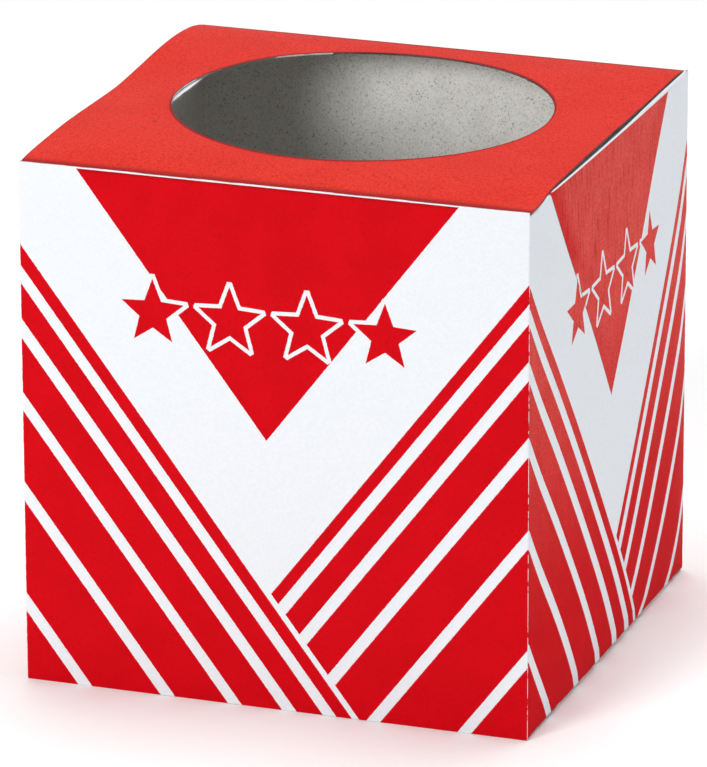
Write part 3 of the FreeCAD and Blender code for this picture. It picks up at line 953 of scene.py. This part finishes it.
def lid():
    board = BoardMesh()
    across = spaced(-LID_SIDE, LID_SIDE, LID_STEP, -SLIT_IN, SLIT_IN)
    back = spaced(START_FRONT, START_BACK, LID_STEP)
    edge = [(x, START_FRONT) for x in across] + [(LID_SIDE, y) for y in back[1:]]
    edge += [(x, START_BACK) for x in reversed(across[:-1])] + [(-LID_SIDE, y) for y in reversed(back[:-1])]
    shares = [0.0, 0.01] + list(np.linspace(0.04, 1.0, 26))
    outer, inner = [], []
    for share in shares:
        out_row, in_row = [], []
        for x, y in edge:
            angle = math.atan2(y - HOLE_Y, x - HOLE_X)
            near = (HOLE_X + HOLE_R * math.cos(angle), HOLE_Y + HOLE_R * math.sin(angle))
            between_x = near[0] + (x - near[0]) * share
            between_y = near[1] + (y - near[1]) * share
            top, under = lid_skin(between_x, between_y)
            out_row.append(top)
            in_row.append(under)
        outer.append(out_row)
        inner.append(in_row)
    board.patch(outer, inner)
    for low, high in ((-LID_SIDE, -SLIT_IN), (SLIT_IN, LID_SIDE)):
        places = [x for x in across if low - 0.01 < x < high + 0.01]
        rows = [[lid_skin(x, y) for x in places] for y in (START_FRONT, LID_FRONT)]
        board.patch([[p[0] for p in row] for row in rows], [[p[1] for p in row] for row in rows])
    corner, ahead, outward = (0, BACK, HEIGHT), (0, 0, 1), (0, 1, 0)
    flap_mesh(board, corner, (1, 0, 0), ahead, outward, 90.0, [FOLD], lambda depth: across)
    bend = ("lid", *bend_between(corner, ahead, outward, 90.0))

    def darker(point):
        """The cut edge is pale only along the left part of the hole; elsewhere it has the dark copy, which
        is painted shade.
        """
        return math.hypot(point[0] - HOLE_X, point[1] - HOLE_Y) > HOLE_R + 1.0 or point[0] > PALE_EDGE_END

    return board.build(
        "lid", "lid", "walls", [LID_PRINT, GREY, CUT, SHADED_CUT], bend, other_cut=darker)


def bottom_panel():
    board = BoardMesh()
    across = spaced(-LID_SIDE, LID_SIDE, BOARD_STEP, -SLIT_IN, SLIT_IN)
    rows = [LID_FRONT] + spaced(START_FRONT, START_BACK, BOARD_STEP)
    outer = [[(x, y, 0.0) for x in across] for y in rows]
    inner = [[(x, y, BOARD) for x in across] for y in rows]
    keep = np.ones((len(rows) - 1, len(across) - 1), bool)
    for j in range(len(across) - 1):
        if abs(across[j] + across[j + 1]) / 2 < SLIT_IN:
            keep[0, j] = False
    board.patch(outer, inner, keep)
    corner, ahead, outward = (0, BACK, 0), (0, 0, -1), (0, 1, 0)
    flap_mesh(board, corner, (1, 0, 0), ahead, outward, 90.0, [FOLD], lambda depth: across)
    bend = ("bottom", *bend_between(corner, ahead, outward, 90.0))
    return board.build(
        "bottom_panel", "bottom_panel", "walls", [BACK_PRINT, GREY, CUT], bend)


lid()
bottom_panel()


# Floor and light

# Half the floor's width, how far it lies below the box, and how strongly it glows
FLOOR_HALF, FLOOR_DROP, FLOOR_GLOW = 6.0, 0.0002, 0.08
# The world's strength in front of the box and behind it
WORLD_FRONT, WORLD_BEHIND = 0.06, 0.60


def add_floor():
    material, graph, shader, _ = new_material("floor")
    place = graph.node("ShaderNodeTexCoord").outputs["Object"]
    cloud = graph.noise(place, 6.0, 2.0, 0.5)
    graph.feed(shader.inputs["Base Color"], graph.mix(
        graph.ease(cloud, 0.3, 0.7), (0.955, 0.955, 0.955, 1.0), (0.97, 0.97, 0.97, 1.0)))
    graph.feed(shader.inputs["Roughness"], graph.ramp(cloud, 0.3, 0.7, 0.9, 1.0))
    shader.inputs["Specular IOR Level"].default_value = 0.0
    # A lit table, so that the background is white as the photograph's is.
    shader.inputs["Emission Color"].default_value = (1.0, 1.0, 1.0, 1.0)
    shader.inputs["Emission Strength"].default_value = FLOOR_GLOW
    mesh = bpy.data.meshes.new("floor")
    half = FLOOR_HALF
    corners = [(-half, -half, 0), (half, -half, 0), (half, half, 0), (-half, half, 0)]
    mesh.from_pydata(corners, [], [(0, 1, 2, 3)])
    mesh.materials.append(material)
    floor = bpy.data.objects.new("floor", mesh)
    floor.location.z = -FLOOR_DROP
    bpy.context.scene.collection.objects.link(floor)


def softbox(name, place, aim, size, share, colour=(1.0, 1.0, 1.0)):
    """A round area light that gives a face turned to it that share of full white."""
    data = bpy.data.lights.new(name, "AREA")
    data.shape = "DISK"
    data.size = size
    data.color = colour
    place, aim = Vector(place), Vector(aim)
    data.energy = share * math.pi ** 2 * (place - aim).length_squared
    lamp = bpy.data.objects.new(name, data)
    lamp.rotation_mode = "QUATERNION"
    lamp.rotation_quaternion = (aim - place).to_track_quat("-Z", "Y")
    lamp.location = place
    bpy.context.scene.collection.objects.link(lamp)
    return lamp


def add_world():
    world = bpy.data.worlds.new("studio")
    world.use_nodes = True
    world.node_tree.nodes.clear()
    graph = Graph(world.node_tree)
    place = graph.node("ShaderNodeTexCoord").outputs["Generated"]
    parts = graph.node("ShaderNodeSeparateXYZ", {"Vector": place}).outputs
    strength = graph.ease(parts["Y"], -0.2, 0.9, WORLD_FRONT, WORLD_BEHIND)
    light = graph.node("ShaderNodeBackground", {"Color": (0.97, 0.985, 1.0, 1.0), "Strength": strength})
    output = graph.node("ShaderNodeOutputWorld")
    graph.tree.links.new(light.outputs[0], output.inputs[0])
    bpy.context.scene.world = world


def from_side(azimuth, elevation, distance):
    """A place in metres around the box; azimuth 0 is in front and grows to the right."""
    turn, rise = math.radians(azimuth), math.radians(elevation)
    level = math.cos(rise)
    middle = Vector((0, 0, 0.15))
    return middle + distance * Vector((math.sin(turn) * level, -math.cos(turn) * level, math.sin(rise)))


add_floor()
add_world()
softbox("key", from_side(-20.2, 22.0, 2.6), aim=(0, 0, 0.15), size=1.16, share=0.70)
softbox("top", (0.0, 0.40, 2.3), aim=(0, 0.1, 0.2), size=1.8, share=0.90)
softbox("fill", from_side(88, 6, 1.6), aim=(0.1, 0, 0.1), size=0.5, share=0.27, colour=(0.93, 0.97, 1.0))

bpy.context.scene.view_settings.view_transform = "Standard"

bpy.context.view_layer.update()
